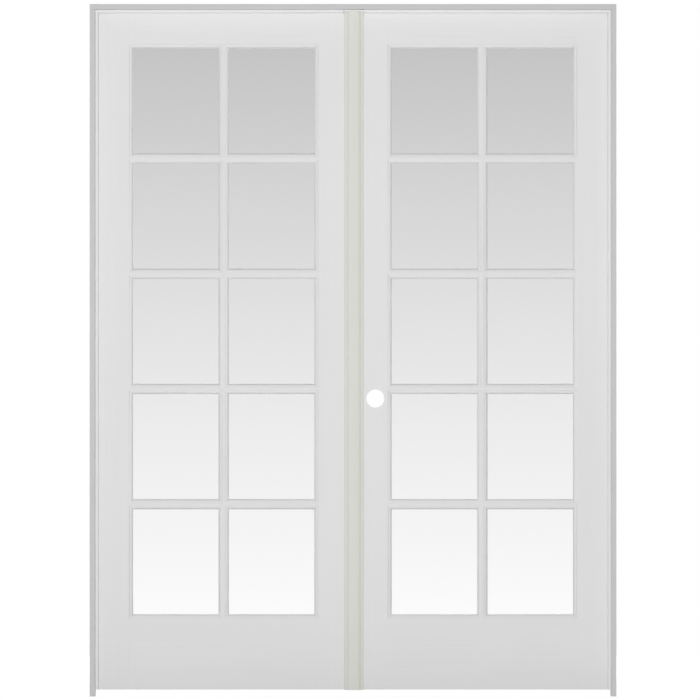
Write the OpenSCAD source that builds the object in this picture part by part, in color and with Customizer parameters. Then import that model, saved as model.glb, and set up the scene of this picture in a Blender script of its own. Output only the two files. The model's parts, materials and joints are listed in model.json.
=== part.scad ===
// A prehung pair of ten-lite french doors in a flat jamb frame, seen in the photograph from the push side.
// X runs from the inactive (left) leaf to the active (right) leaf, Y from the push side to the hinge side
// and Z up. The origin is the middle of the unit's depth and width, on the floor.

/* [Leaves] */
// Width of each leaf
leaf_w = 762; // [640:1:915]
// Height of each leaf
leaf_h = 2032; // [1900:1:2440]
// Thickness of each leaf
leaf_t = 35; // [33:0.5:45]
// Face width of the stiles, up to the moulding
stile_w = 98.5; // [94:0.5:130]
// Face width of the top rail, up to the moulding
top_rail_w = 100.5; // [80:0.5:150]
// Face width of the bottom rail, up to the moulding
bottom_rail_w = 214; // [150:1:300]
// Flat face of the glazing bars, between their mouldings
bar_w = 9; // [7:0.5:20]

/* [Moulding] */
// Width of the moulding from the flat face to the glass
moulding_w = 11; // [9:0.5:14]
// Depth of the square step at the moulding's outer edge
quirk_h = 1.5; // [0.5:0.1:2.5]
// Width of the ledge beside that step
quirk_w = 1.5; // [0.5:0.1:2]
// Width of the flat ledge at the moulding's glass edge
fillet_w = 1; // [0.5:0.1:1.5]

/* [Glass] */
// Thickness of each pane
glass_t = 4; // [3:0.5:6]
// Clearance round each pane in its rabbet
pane_clearance = 1.5; // [1:0.25:3]
// Gap left at each mitre between two glazing beads
bead_joint = 0.2; // [0.1:0.05:0.6]

/* [Joinery] */
// Thickness of the rail tenons
tenon_t = 12; // [8:0.5:16]
// Length of the rail tenons
tenon_l = 55; // [30:1:60]
// Shoulder above and below each rail tenon
tenon_shoulder = 22; // [15:1:32]
// Thickness of the stub tenons on the glazing bars
bar_tenon_t = 12; // [8:0.5:16]
// Length of those stub tenons
bar_tenon_l = 10; // [6:0.5:14]
// Depth of the halved joint where two glazing bars cross
lap_depth = 10; // [6:0.5:14]

/* [Frame] */
// Thickness of the jambs
jamb_t = 16; // [14:0.5:20]
// Depth of the jambs, front edge to back edge
jamb_depth = 116; // [105:1:170]
// Rounding of the jambs' long edges
jamb_edge_r = 1.5; // [0.5:0.25:3]
// Height of the leaves above the floor
undercut = 19; // [17:1:40]
// Gap between the leaves and the head
head_gap = 3; // [2:0.5:6]
// Gap between each leaf and its jamb
hinge_gap = 3; // [2:0.5:4]
// Gap between the astragal's stem and the active leaf
lock_gap = 3.5; // [2.5:0.5:6]
// Depth of the housing in each leg that takes the head's end
housing_depth = 8; // [4:0.5:10]
// Length of the screws through the legs into the head
corner_screw_l = 45; // [30:1:70]
// Spacing of those screws along the depth of the jamb
corner_screw_pitch = 38; // [25:1:42]

/* [Stops] */
// Projection of the stops from the jambs
stop_t = 9.5; // [8:0.5:14]
// Depth of the stops, front to back
stop_w = 32; // [20:1:45]
// Rounding of the stops' exposed edge
stop_edge_r = 4; // [1:0.5:7]
// Gap between the stops and the leaves
stop_gap = 1.5; // [0.5:0.25:3]
// Gap between the head stops and the astragal's cap
stop_cap_gap = 3; // [2.5:0.5:6]

/* [Hinges] */
// Height of each hinge
hinge_h = 89; // [76:1:102]
// Thickness of the hinge plates
plate_t = 2.2; // [1.8:0.1:3]
// Corner radius of the hinge plates
plate_corner_r = 16; // [6:1:20]
// Wood left between the plates' far edge and the push face
hinge_backset = 5; // [3:0.5:9]
// Radius of the hinge barrel
barrel_r = 6; // [5:0.25:7]
// Clearance between a barrel and the facing plate's edge
barrel_clearance = 0.3; // [0.2:0.05:0.6]
// Distance from the leaf's back face to the pin's axis
pin_offset = 7; // [6.5:0.25:14]
// Radius of the hinge pin
pin_r = 3; // [2:0.25:4]
// Running clearance between pin and knuckle, on the radius
pin_clearance = 0.05; // [0.02:0.01:0.09]
// Radius of the button on top of the pin
pin_head_r = 5; // [4:0.25:5.5]
// Height of that button
pin_head_h = 2.5; // [1:0.25:4]
// Gap between neighbouring knuckles
knuckle_gap = 0.3; // [0.2:0.05:0.5]
// Distance from the leaf's top to the top hinge
hinge_top_margin = 178; // [160:1:260]
// Distance from the leaf's bottom to the bottom hinge
hinge_bottom_margin = 279; // [170:1:300]

/* [Screws] */
// Radius of a countersunk screw head
screw_head_r = 4; // [3:0.25:4.5]
// Radius of a screw's shank
screw_r = 1.9; // [1.25:0.05:2.25]
// Depth of a screw's head sunk straight into wood
countersink_h = 2.2; // [1.5:0.1:3]
// Length of a screw's point
screw_point_l = 4; // [2:0.5:6]
// Length of the screws that fix plates to a leaf
leaf_screw_l = 25; // [16:1:40]
// Wood left behind the point of a screw that fixes a plate to a jamb
jamb_screw_cover = 1; // [0.5:0.25:3]
// Spacing of the three screws along a hinge plate
hinge_screw_pitch = 30; // [22:1:32]
// Sideways step of the middle screw of a hinge plate
hinge_screw_stagger = 9; // [4:0.5:12]

/* [Astragal] */
// Thickness of the stem between the leaves
stem_t = 9.5; // [9.5:0.5:14]
// Width of the cap over the joint
cap_w = 57; // [48:0.5:64]
// Lap of the cap on the inactive leaf
cap_lap = 19.5; // [14:0.5:21]
// Thickness of the cap at its flat
cap_t = 12; // [9:0.5:14]
// Thickness of the cap at its thin edges
cap_edge_t = 6; // [4:0.5:8]
// Width of each thin edge
cap_edge_w = 7.5; // [5:0.5:9]
// Rounding of the thin edges' outer corners
cap_edge_r = 3.5; // [1:0.5:3.5]
// Width of each rounded slope
cap_slope_w = 10.5; // [7:0.5:12]
// Gap between the cap and the active leaf's face
cap_relief = 1; // [0.5:0.25:2]
// Overhang of the astragal below the leaf
astragal_drop = 1.5; // [0:0.25:3]
// Distance from the leaf's ends to the first and last astragal screws
astragal_screw_margin = 250; // [200:5:280]
// Length of the astragal screws
astragal_screw_l = 40; // [25:1:60]

/* [Flush bolts] */
// Width of the bolt's face plate
bolt_plate_w = 19; // [17:0.5:24]
// Length of the bolt's face plate
bolt_plate_l = 150; // [140:1:180]
// Thickness of the bolt's face plate
bolt_plate_t = 2; // [1.5:0.1:2]
// Width of the sliding bar
bolt_w = 12; // [8:0.5:14]
// Thickness of the sliding bar
bolt_t = 6; // [4:0.25:6]
// Length of the sliding bar
bolt_l = 108; // [100:1:115]
// Throw of the bar
bolt_throw = 16; // [10:0.5:16]
// Sliding clearance round the bar
bolt_clearance = 0.15; // [0.1:0.05:0.3]
// Width of the thumb piece
thumb_w = 7; // [5:0.5:8]
// Height of the thumb piece
thumb_h = 14; // [8:0.5:18]
// How far the thumb piece stands out of its plate
thumb_proud = 1.2; // [0.5:0.1:1.5]
// Distance from the bar's tip to the thumb piece
thumb_setback = 70; // [45:1:75]
// Spacing of the two screws at the plate's inner end
bolt_screw_pitch = 18; // [12:1:20]
// Length of the head strike along the frame
strike_l = 54; // [46:1:70]
// Thickness of the head strike
strike_t = 1.5; // [1:0.1:2]
// Clearance round the bar in the head strike
strike_clearance = 1; // [0.5:0.25:2]

/* [Lock preparation] */
// Radius of the cross bore for the lock
lock_bore_r = 27; // [22:0.5:28]
// Distance from the meeting edge to the cross bore's axis
lock_backset = 60.3; // [58:0.1:64]
// Height of that axis above the leaf's bottom
lock_height = 871.5; // [840:0.5:940]
// Radius of the latch bore in the leaf's edge
latch_bore_r = 12.7; // [10:0.1:13]
// Length of the latch plate's recess
latch_plate_h = 57; // [50:0.5:64]
// Width of the latch plate's recess
latch_plate_w = 25.4; // [22:0.1:28]
// Corner radius of the latch and strike recesses
latch_corner_r = 6; // [3:0.5:10]
// Depth of the latch plate's recess
latch_plate_t = 2.5; // [1.5:0.1:3.5]
// Depth of the strike's recess in the astragal
lock_strike_t = 1.6; // [1:0.1:2.5]
// Height of the latch pocket in the astragal
latch_pocket_h = 25; // [20:0.5:30]
// Width of the latch pocket in the astragal
latch_pocket_w = 15; // [12:0.5:18]
// Depth of the latch pocket in the astragal
latch_pocket_d = 8; // [6:0.25:8.5]

/* [Hidden] */
$fn = 48;
// How far a cutter runs past the face that it opens
cut = 1;
// How far two shapes of one piece run into each other
merge = 1;
columns = 2;
rows = 5;
knuckles = 5;
hinge_levels = ["lower", "middle", "upper"];
sides = ["left", "right"];
bolt_ends = ["top", "bottom"];

// The edges of a lite, in the order of its corners
bottom_edge = 0;
right_edge = 1;
top_edge = 2;
left_edge = 3;

// Overall sizes follow from the leaves and the gaps
unit_w = 2 * (jamb_t + hinge_gap + leaf_w) + stem_t + lock_gap;
unit_h = undercut + leaf_h + head_gap + jamb_t;
unit_d = jamb_depth + pin_offset + barrel_r;
front_y = -unit_d / 2;
back_y = front_y + jamb_depth;
leaf_y = back_y - leaf_t;
leaf_x = unit_w / 2 - jamb_t - hinge_gap;
jamb_face_x = unit_w / 2 - jamb_t;
head_z = unit_h - jamb_t;
stop_y = leaf_y - stop_gap - stop_w;

// The glazed grid inside a leaf
bar_full_w = bar_w + 2 * moulding_w;
lite_w = (leaf_w - 2 * (stile_w + moulding_w) - (columns - 1) * bar_full_w) / columns;
lite_h = (leaf_h - top_rail_w - bottom_rail_w - 2 * moulding_w - (rows - 1) * bar_full_w) / rows;
moulding_r = moulding_w - quirk_w - fillet_w;
seat_y = (leaf_t - glass_t) / 2;
grid_top = leaf_h - top_rail_w;
inner_w = leaf_w - 2 * stile_w;
upright_x = (leaf_w - bar_w) / 2;

// The hinges, with their origin on the pin's axis
plate_start = barrel_r + barrel_clearance;
plate_reach = pin_offset + leaf_t - hinge_backset;
knuckle_h = (hinge_h - (knuckles - 1) * knuckle_gap) / knuckles;
lower_hinge_z = hinge_bottom_margin + hinge_h / 2;
upper_hinge_z = leaf_h - hinge_top_margin - hinge_h / 2;
hinge_z = [lower_hinge_z, (lower_hinge_z + upper_hinge_z) / 2, upper_hinge_z];
jamb_screw_l = jamb_t - jamb_screw_cover;

// The astragal's cap and stem, in the inactive leaf's own frame
cap_x = leaf_w - cap_lap;
stem_face_x = leaf_w + stem_t;
cap_flat_w = cap_w - 2 * (cap_edge_w + cap_slope_w);
cap_rise = cap_t - cap_edge_t;
cap_r = (cap_slope_w * cap_slope_w + cap_rise * cap_rise) / (2 * cap_rise);
astragal_screws_n = 5;
astragal_screw_step = (leaf_h - 2 * astragal_screw_margin) / (astragal_screws_n - 1);
astragal_h = leaf_h + astragal_drop;
cap_left_x = cap_x - leaf_x;
cap_right_x = cap_left_x + cap_w;

// The flush bolts, with their origin on the stem's face at the stem's end
bar_depth = bolt_plate_t + 2 * bolt_clearance + bolt_t;
bar_back_x = -bolt_plate_t - bolt_clearance - bolt_t;
bar_mid_x = stem_face_x - leaf_x + bar_back_x + bolt_t / 2;
bar_mid_y = leaf_y + leaf_t / 2;
bolt_screw_z = [for (i = [0, 1]) -(bolt_l + bolt_plate_l) / 2 + (i - 0.5) * bolt_screw_pitch];
strike_hole_l = bolt_t + 2 * strike_clearance;
strike_hole_w = bolt_w + 2 * strike_clearance;
strike_pocket_h = bolt_throw - head_gap + strike_clearance;
strike_screw_x = (strike_l + strike_hole_l) / 4;

leaf_white = [0.88, 0.88, 0.88];
jamb_grey = [0.78, 0.78, 0.78];
astragal_cream = [0.84, 0.845, 0.82];
clear_glass = [0.82, 0.9, 0.88, 0.4];
satin_nickel = [0.72, 0.7, 0.66];

// Placing

// Draws the left side as modelled and the right side as its mirror image
module on_side(side) {
    mirror([side == "right" ? 1 : 0, 0, 0]) children();
}

// Moves to a leaf's own frame: hinge edge at x 0, push face at y 0, bottom at z 0
module at_leaf() {
    translate([-leaf_x, leaf_y, undercut]) children();
}

// Moves to one hinge's pin in the leaf's frame
module at_hinge(level) {
    translate([-hinge_gap / 2, leaf_t + pin_offset, hinge_z[level]]) children();
}

// Moves to the open end of one flush bolt in the inactive leaf's frame, with the bolt running down from it
module at_bolt(end) {
    translate([stem_face_x, leaf_t / 2, end == "top" ? leaf_h : -astragal_drop])
        mirror([0, 0, end == "top" ? 0 : 1]) children();
}

// Extrudes a front view, drawn in X and Z, back from the push face
module slab(depth) {
    translate([0, depth, 0]) rotate([90, 0, 0]) linear_extrude(depth) children();
}

// Extrudes a side view, drawn in Y and Z, along X
module side_slab(width) {
    rotate([90, 0, 90]) linear_extrude(width) children();
}

// A rectangle with true round corners, from the origin
module rounded_rect(w, h, r) {
    translate([r, 0]) square([w - 2 * r, h]);
    translate([0, r]) square([w, h - 2 * r]);
    for (x = [r, w - r], y = [r, h - r]) translate([x, y]) circle(r);
}

// A countersunk screw along +Z, its head flush with z 0, or its hole with the countersink run past that face
module screw(length, head_h, past = 0) {
    flare = (screw_head_r - screw_r) / head_h;
    translate([0, 0, -past]) cylinder(r1 = screw_head_r + flare * past, r2 = screw_r, h = head_h + past);
    cylinder(r = screw_r, h = length - screw_point_l);
    translate([0, 0, length - screw_point_l]) cylinder(r1 = screw_r, r2 = screw_r / 4, h = screw_point_l);
}

// The glazed grid

function lite_x(c) = stile_w + moulding_w + c * (lite_w + bar_full_w);
function lite_z(r) = bottom_rail_w + moulding_w + r * (lite_h + bar_full_w);

// Section through one opening: ovolo moulding in front of the glass, square rabbet behind it
module lite_section(w) {
    half = w / 2;
    square_x = half + moulding_w;
    round_x = square_x - quirk_w;
    translate([-half, -cut]) square([w, leaf_t + 2 * cut]);
    translate([-square_x, -cut]) square([2 * square_x, quirk_h + cut]);
    difference() {
        translate([-round_x, 0]) square([2 * round_x, quirk_h + moulding_r]);
        for (x = [-round_x, round_x]) translate([x, quirk_h + moulding_r]) circle(moulding_r);
    }
    translate([-square_x, seat_y]) square([2 * square_x, leaf_t - seat_y + cut]);
}

// The whole opening of one lite, mitred at its corners
module lite_cutter(c, r) {
    translate([lite_x(c) + lite_w / 2, 0, lite_z(r) + lite_h / 2]) intersection() {
        linear_extrude(lite_h + 2 * moulding_w + cut, center = true) lite_section(lite_w);
        rotate([0, -90, 0])
            linear_extrude(lite_w + 2 * moulding_w + cut, center = true) lite_section(lite_h);
    }
}

// Front view of the moulded strip along one side of a lite, mitred at both ends and run into its member
module mitred_strip(c, r, edge) {
    x0 = lite_x(c);
    x1 = x0 + lite_w;
    z0 = lite_z(r);
    z1 = z0 + lite_h;
    m = moulding_w;
    outer = [[x0 - m, z0 - m], [x1 + m, z0 - m], [x1 + m, z1 + m], [x0 - m, z1 + m]];
    inner = [[x0, z0], [x1, z0], [x1, z1], [x0, z1]];
    next = (edge + 1) % 4;
    out = merge * [[0, -1], [1, 0], [0, 1], [-1, 0]][edge];
    polygon([outer[edge] + out, outer[next] + out, outer[next], inner[next], inner[edge], outer[edge]]);
}

// A member of the leaf, from its front view, less the openings of the lites beside it
module member(lites) {
    difference() {
        slab(leaf_t) children();
        for (l = lites) lite_cutter(l[0], l[1]);
    }
}

// A bar right through a rail, whose two ends are the rail's tenons
module rail_tenon_bar(z, h) {
    translate([stile_w - tenon_l, (leaf_t - tenon_t) / 2, z + tenon_shoulder])
        cube([inner_w + 2 * tenon_l, tenon_t, h - 2 * tenon_shoulder]);
}

module rail_tenons() {
    rail_tenon_bar(0, bottom_rail_w);
    rail_tenon_bar(grid_top, top_rail_w);
}

function bar_z(r) = lite_z(r) - moulding_w - bar_w;

module cross_bar_tenons(r) {
    for (x = [stile_w - bar_tenon_l, leaf_w - stile_w - merge])
        translate([x, (leaf_t - bar_tenon_t) / 2, bar_z(r)])
            cube([bar_tenon_l + merge, bar_tenon_t, bar_w]);
}

module upright_tenons() {
    for (z = [bottom_rail_w - bar_tenon_l, grid_top - merge])
        translate([upright_x, (leaf_t - bar_tenon_t) / 2, z])
            cube([bar_w, bar_tenon_t, bar_tenon_l + merge]);
}

// Where a cross bar passes behind the upright bar
module lap(r) {
    translate([upright_x - merge, leaf_t - lap_depth, bar_z(r)])
        cube([bar_w + 2 * merge, lap_depth, bar_w]);
}

// The sockets that both stiles of a leaf have for its rails and cross bars
module stile_sockets() {
    rail_tenons();
    for (r = [1 : rows - 1]) cross_bar_tenons(r);
}

module hinge_stile() {
    color(leaf_white) difference() {
        member([for (r = [0 : rows - 1]) [0, r]]) {
            square([stile_w, leaf_h]);
            for (r = [0 : rows - 1]) mitred_strip(0, r, left_edge);
        }
        stile_sockets();
        for (l = [0 : 2]) at_hinge(l) {
            hinge_plate_blank(cut);
            hinge_screws(leaf_screw_l, cut);
        }
    }
}

module meeting_stile(side) {
    color(leaf_white) difference() {
        member([for (r = [0 : rows - 1]) [columns - 1, r]]) {
            translate([leaf_w - stile_w, 0]) square([stile_w, leaf_h]);
            for (r = [0 : rows - 1]) mitred_strip(columns - 1, r, right_edge);
        }
        stile_sockets();
        if (side == "left") {
            astragal_screw_row(cut);
            for (e = bolt_ends) at_bolt(e) bolt_screw_pair(cut);
        }
        if (side == "right") lock_preparation();
    }
}

module top_rail() {
    color(leaf_white) difference() {
        union() {
            member([for (c = [0 : columns - 1]) [c, rows - 1]]) {
                translate([stile_w, grid_top]) square([inner_w, top_rail_w]);
                for (c = [0 : columns - 1]) mitred_strip(c, rows - 1, top_edge);
            }
            rail_tenon_bar(grid_top, top_rail_w);
        }
        upright_tenons();
    }
}

module bottom_rail() {
    color(leaf_white) difference() {
        union() {
            member([for (c = [0 : columns - 1]) [c, 0]]) {
                translate([stile_w, 0]) square([inner_w, bottom_rail_w]);
                for (c = [0 : columns - 1]) mitred_strip(c, 0, bottom_edge);
            }
            rail_tenon_bar(0, bottom_rail_w);
        }
        upright_tenons();
    }
}

module upright_bar() {
    color(leaf_white) difference() {
        union() {
            member([for (c = [0, 1], r = [0 : rows - 1]) [c, r]]) {
                translate([upright_x, bottom_rail_w]) square([bar_w, grid_top - bottom_rail_w]);
                for (r = [0 : rows - 1]) {
                    mitred_strip(0, r, right_edge);
                    mitred_strip(1, r, left_edge);
                }
            }
            upright_tenons();
        }
        for (r = [1 : rows - 1]) lap(r);
    }
}

// One cross bar, between row r - 1 and row r
module cross_bar(r) {
    color(leaf_white) {
        member([for (c = [0, 1], k = [r - 1, r]) [c, k]])
            for (c = [0, 1]) {
                translate([lite_x(c) - moulding_w, bar_z(r)]) square([lite_w + 2 * moulding_w, bar_w]);
                mitred_strip(c, r - 1, top_edge);
                mitred_strip(c, r, bottom_edge);
            }
        lap(r);
        cross_bar_tenons(r);
    }
}

module glass_panes() {
    bite = moulding_w - pane_clearance;
    color(clear_glass) for (c = [0 : columns - 1], r = [0 : rows - 1])
        translate([lite_x(c) - bite, seat_y, lite_z(r) - bite])
            cube([lite_w + 2 * bite, glass_t, lite_h + 2 * bite]);
}

// Section of a glazing bead: the front's moulding again, from the glass line in X, below the back face in Y
module bead_section() {
    round_x = moulding_w - quirk_w;
    round_y = quirk_h + moulding_r;
    translate([0, -seat_y]) square([moulding_w, seat_y - round_y]);
    translate([round_x, -seat_y]) square([quirk_w, seat_y - quirk_h]);
    intersection() {
        translate([round_x, -round_y]) circle(moulding_r);
        translate([0, -round_y]) square([round_x, moulding_r]);
    }
}

// One bead along Z, its glass line at x 0 and the leaf's back face at y 0, mitred at both ends
module bead(length) {
    half = (length - bead_joint) / 2;
    outer = half + moulding_w;
    intersection() {
        linear_extrude(2 * outer, center = true) bead_section();
        translate([0, -seat_y, 0]) slab(seat_y)
            polygon([[0, -half], [moulding_w, -outer], [moulding_w, outer], [0, half]]);
    }
}

// Four beads hold each pane from the hinge side
module glazing_beads() {
    color(leaf_white) for (c = [0 : columns - 1], r = [0 : rows - 1], quarter = [0 : 3])
        translate([lite_x(c) + lite_w / 2, leaf_t, lite_z(r) + lite_h / 2])
            rotate([0, 90 * quarter, 0])
                translate([(quarter % 2 == 0 ? lite_w : lite_h) / 2, 0, 0])
                    bead(quarter % 2 == 0 ? lite_h : lite_w);
}

// Hinges, with the plate that goes in the leaf's edge on the +X side of the pin

module hinge_plate_outline() {
    translate([-plate_reach, -hinge_h / 2]) intersection() {
        rounded_rect(plate_reach - plate_start + plate_corner_r, hinge_h, plate_corner_r);
        square([plate_reach - plate_start, hinge_h]);
    }
}

// The flat of a plate without its holes, or the recess that it sits in, run past the wood's face
module hinge_plate_blank(past = 0) {
    translate([hinge_gap / 2 - past, 0, 0]) side_slab(plate_t + past) hinge_plate_outline();
}

module hinge_screws(length, past = 0) {
    for (i = [-1 : 1])
        translate([
            hinge_gap / 2,
            -(plate_start + plate_reach) / 2 + (i == 0 ? -1 : 1) * hinge_screw_stagger / 2,
            i * hinge_screw_pitch
        ]) rotate([0, 90, 0]) screw(length, plate_t, past);
}

// A plate with every second knuckle, from knuckle number first upwards
module hinge_plate(first, screw_l) {
    color(satin_nickel) difference() {
        union() {
            hinge_plate_blank();
            for (k = [first : 2 : knuckles - 1])
                translate([0, 0, k * (knuckle_h + knuckle_gap) - hinge_h / 2]) {
                    cylinder(r = barrel_r, h = knuckle_h);
                    translate([hinge_gap / 2, -plate_start - cut, 0])
                        cube([plate_t, plate_start + cut, knuckle_h]);
                }
        }
        translate([0, 0, -hinge_h / 2 - cut]) cylinder(r = pin_r + pin_clearance, h = hinge_h + 2 * cut);
        hinge_screws(screw_l, cut);
    }
}

// The frame's plate is the leaf's plate turned to the other side of the pin
module to_frame_plate() {
    mirror([1, 0, 0]) children();
}

module hinge_pin() {
    chamfer = pin_head_h / 2;
    translate([0, 0, -hinge_h / 2]) cylinder(r = pin_r, h = hinge_h + chamfer);
    translate([0, 0, hinge_h / 2]) {
        cylinder(r = pin_head_r, h = pin_head_h - chamfer);
        translate([0, 0, pin_head_h - chamfer])
            cylinder(r1 = pin_head_r, r2 = pin_head_r - chamfer, h = chamfer);
    }
}

module hinge_pins() {
    color(satin_nickel) for (l = [0 : 2]) at_hinge(l) hinge_pin();
}

module hinge_frame_screws() {
    color(satin_nickel) for (l = [0 : 2]) at_hinge(l) to_frame_plate() hinge_screws(jamb_screw_l);
}

module hinge_leaf_screws() {
    color(satin_nickel) for (l = [0 : 2]) at_hinge(l) hinge_screws(leaf_screw_l);
}

// Frame

module leg() {
    color(jamb_grey) difference() {
        translate([-unit_w / 2, front_y, 0])
            linear_extrude(unit_h) rounded_rect(jamb_t, jamb_depth, jamb_edge_r);
        translate([-jamb_face_x - housing_depth, front_y - cut, head_z])
            cube([housing_depth + cut, jamb_depth + 2 * cut, jamb_t + cut]);
        at_leaf() for (l = [0 : 2]) at_hinge(l) to_frame_plate() {
            hinge_plate_blank(cut);
            hinge_screws(jamb_screw_l, cut);
        }
        corner_screw_row(cut);
    }
}

module corner_screw_row(past = 0) {
    for (i = [-1 : 1])
        translate([-unit_w / 2, front_y + jamb_depth / 2 + i * corner_screw_pitch, head_z + jamb_t / 2])
            rotate([0, 90, 0]) screw(corner_screw_l, countersink_h, past);
}

module frame_corner_screws() {
    color(satin_nickel) for (s = sides) on_side(s) corner_screw_row();
}

module head_jamb() {
    half = jamb_face_x + housing_depth;
    color(jamb_grey) difference() {
        translate([-half, front_y, head_z])
            side_slab(2 * half) rounded_rect(jamb_depth, jamb_t, jamb_edge_r);
        for (s = sides) on_side(s) corner_screw_row(cut);
        head_strike_blank(cut);
        strike_hole(strike_pocket_h);
        head_strike_screw_pair(cut);
    }
}

// Section of a stop: its projection from the jamb in X, its depth in Y, the exposed edge rounded
module stop_section() {
    difference() {
        square([stop_t, stop_w]);
        translate([stop_t - stop_edge_r, 0]) difference() {
            translate([0, -cut]) square([stop_edge_r + cut, stop_edge_r + cut]);
            translate([0, stop_edge_r]) circle(stop_edge_r);
        }
    }
}

module side_stop() {
    h = head_z - undercut;
    color(leaf_white) translate([-jamb_face_x, stop_y, undercut]) intersection() {
        linear_extrude(h) stop_section();
        slab(stop_w) polygon([[0, 0], [stop_t, 0], [stop_t, h - stop_t], [0, h]]);
    }
}

// A head stop runs from the mitre in the frame's corner to the astragal's cap
module head_stop(end_x) {
    length = jamb_face_x - end_x - stop_cap_gap;
    color(leaf_white) translate([-jamb_face_x, stop_y, head_z]) intersection() {
        side_slab(length) rotate(-90) stop_section();
        slab(stop_w) polygon([[0, 0], [stop_t, -stop_t], [length, -stop_t], [length, 0]]);
    }
}

module head_strike_blank(past = 0) {
    translate([bar_mid_x - strike_l / 2, bar_mid_y - bolt_plate_w / 2, head_z - past])
        cube([strike_l, bolt_plate_w, strike_t + past]);
}

module strike_hole(height) {
    translate([bar_mid_x - strike_hole_l / 2, bar_mid_y - strike_hole_w / 2, head_z - cut])
        cube([strike_hole_l, strike_hole_w, height + cut]);
}

module head_strike_screw_pair(past = 0) {
    for (x = [-strike_screw_x, strike_screw_x])
        translate([bar_mid_x + x, bar_mid_y, head_z]) screw(jamb_screw_l, strike_t, past);
}

module head_strike() {
    color(satin_nickel) difference() {
        head_strike_blank();
        strike_hole(strike_t + cut);
        head_strike_screw_pair(cut);
    }
}

module head_strike_screws() {
    color(satin_nickel) head_strike_screw_pair();
}

// Astragal

module cap_section() {
    square([cap_w, cap_edge_t - cap_edge_r]);
    translate([cap_edge_r, 0]) square([cap_w - 2 * cap_edge_r, cap_edge_t]);
    for (x = [cap_edge_r, cap_w - cap_edge_r]) intersection() {
        translate([x, cap_edge_t - cap_edge_r]) circle(cap_edge_r);
        translate([x - cap_edge_r, 0]) square([2 * cap_edge_r, cap_edge_t]);
    }
    translate([cap_edge_w + cap_slope_w, 0]) square([cap_flat_w, cap_t]);
    for (x = [cap_edge_w + cap_slope_w, cap_w - cap_edge_w - cap_slope_w]) intersection() {
        translate([x, cap_t - cap_r]) circle(cap_r);
        translate([x - cap_slope_w, 0]) square([2 * cap_slope_w, cap_t]);
    }
}

// The T's cross stroke: it lies on the inactive leaf and on the stem, and stands off the active leaf
module astragal_cap() {
    color(astragal_cream) translate([0, 0, -astragal_drop]) linear_extrude(astragal_h) difference() {
        translate([cap_x, 0]) mirror([0, 1]) cap_section();
        translate([stem_face_x, -cap_relief]) square([cap_w, cap_relief + cut]);
    }
}

module astragal_screw_row(past = 0) {
    for (i = [0 : astragal_screws_n - 1])
        translate([stem_face_x, leaf_t / 2, astragal_screw_margin + i * astragal_screw_step])
            rotate([0, -90, 0]) screw(astragal_screw_l, countersink_h, past);
}

// A recess for a plate with round corners, let into the face at x 0 towards -X
module edge_recess(w, h, depth) {
    translate([-depth, -w / 2, -h / 2]) side_slab(depth + cut) rounded_rect(w, h, latch_corner_r);
}

// The T's upright stroke: a strip screwed to the inactive leaf's edge, which takes the bolts and the strike
module astragal_stem() {
    color(astragal_cream) difference() {
        translate([leaf_w, 0, -astragal_drop]) cube([stem_t, leaf_t, astragal_h]);
        astragal_screw_row(cut);
        for (e = bolt_ends) at_bolt(e) {
            bolt_plate_blank(cut);
            bolt_channel();
            bolt_screw_pair(cut);
        }
        translate([stem_face_x, leaf_t / 2, lock_height]) {
            edge_recess(latch_plate_w, latch_plate_h, lock_strike_t);
            translate([-latch_pocket_d, -latch_pocket_w / 2, -latch_pocket_h / 2])
                cube([latch_pocket_d + cut, latch_pocket_w, latch_pocket_h]);
        }
    }
}

module astragal_screws() {
    color(satin_nickel) astragal_screw_row();
}

// Flush bolts, hanging from z 0 with the face that shows at x 0

module bolt_plate_blank(past = 0) {
    translate([-bolt_plate_t, -bolt_plate_w / 2, -bolt_plate_l])
        cube([bolt_plate_t + past, bolt_plate_w, bolt_plate_l + past]);
}

module bolt_channel() {
    width = bolt_w + 2 * bolt_clearance;
    translate([-bar_depth, -width / 2, -bolt_l - bolt_clearance])
        cube([bar_depth, width, bolt_l + bolt_clearance + cut]);
}

module bolt_screw_pair(past = 0) {
    for (z = bolt_screw_z)
        translate([0, 0, z]) rotate([0, -90, 0]) screw(leaf_screw_l, bolt_plate_t, past);
}

module bolt_plate() {
    slot_w = thumb_w + 2 * bolt_clearance;
    slot_h = thumb_h + bolt_throw + 2 * bolt_clearance;
    color(satin_nickel) difference() {
        bolt_plate_blank();
        translate([-bolt_plate_t - cut, -slot_w / 2, -thumb_setback - thumb_h - bolt_clearance])
            cube([bolt_plate_t + 2 * cut, slot_w, slot_h]);
        bolt_screw_pair(cut);
    }
}

module flush_bolt() {
    color(satin_nickel) {
        translate([bar_back_x, -bolt_w / 2, -bolt_l]) cube([bolt_t, bolt_w, bolt_l]);
        translate([bar_back_x, -thumb_w / 2, -thumb_setback - thumb_h])
            cube([thumb_proud - bar_back_x, thumb_w, thumb_h]);
    }
}

module flush_bolt_screws() {
    color(satin_nickel) for (e = bolt_ends) at_bolt(e) bolt_screw_pair();
}

// Lock preparation of the active leaf's meeting stile: cross bore, latch bore and latch plate recess

module lock_preparation() {
    translate([leaf_w, leaf_t / 2, lock_height]) {
        translate([-lock_backset, 0, 0]) rotate([90, 0, 0])
            cylinder(r = lock_bore_r, h = leaf_t + 2 * cut, center = true);
        translate([-lock_backset, 0, 0])
            rotate([0, 90, 0]) cylinder(r = latch_bore_r, h = lock_backset + cut);
        edge_recess(latch_plate_w, latch_plate_h, latch_plate_t);
    }
}

// Drawing

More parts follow.
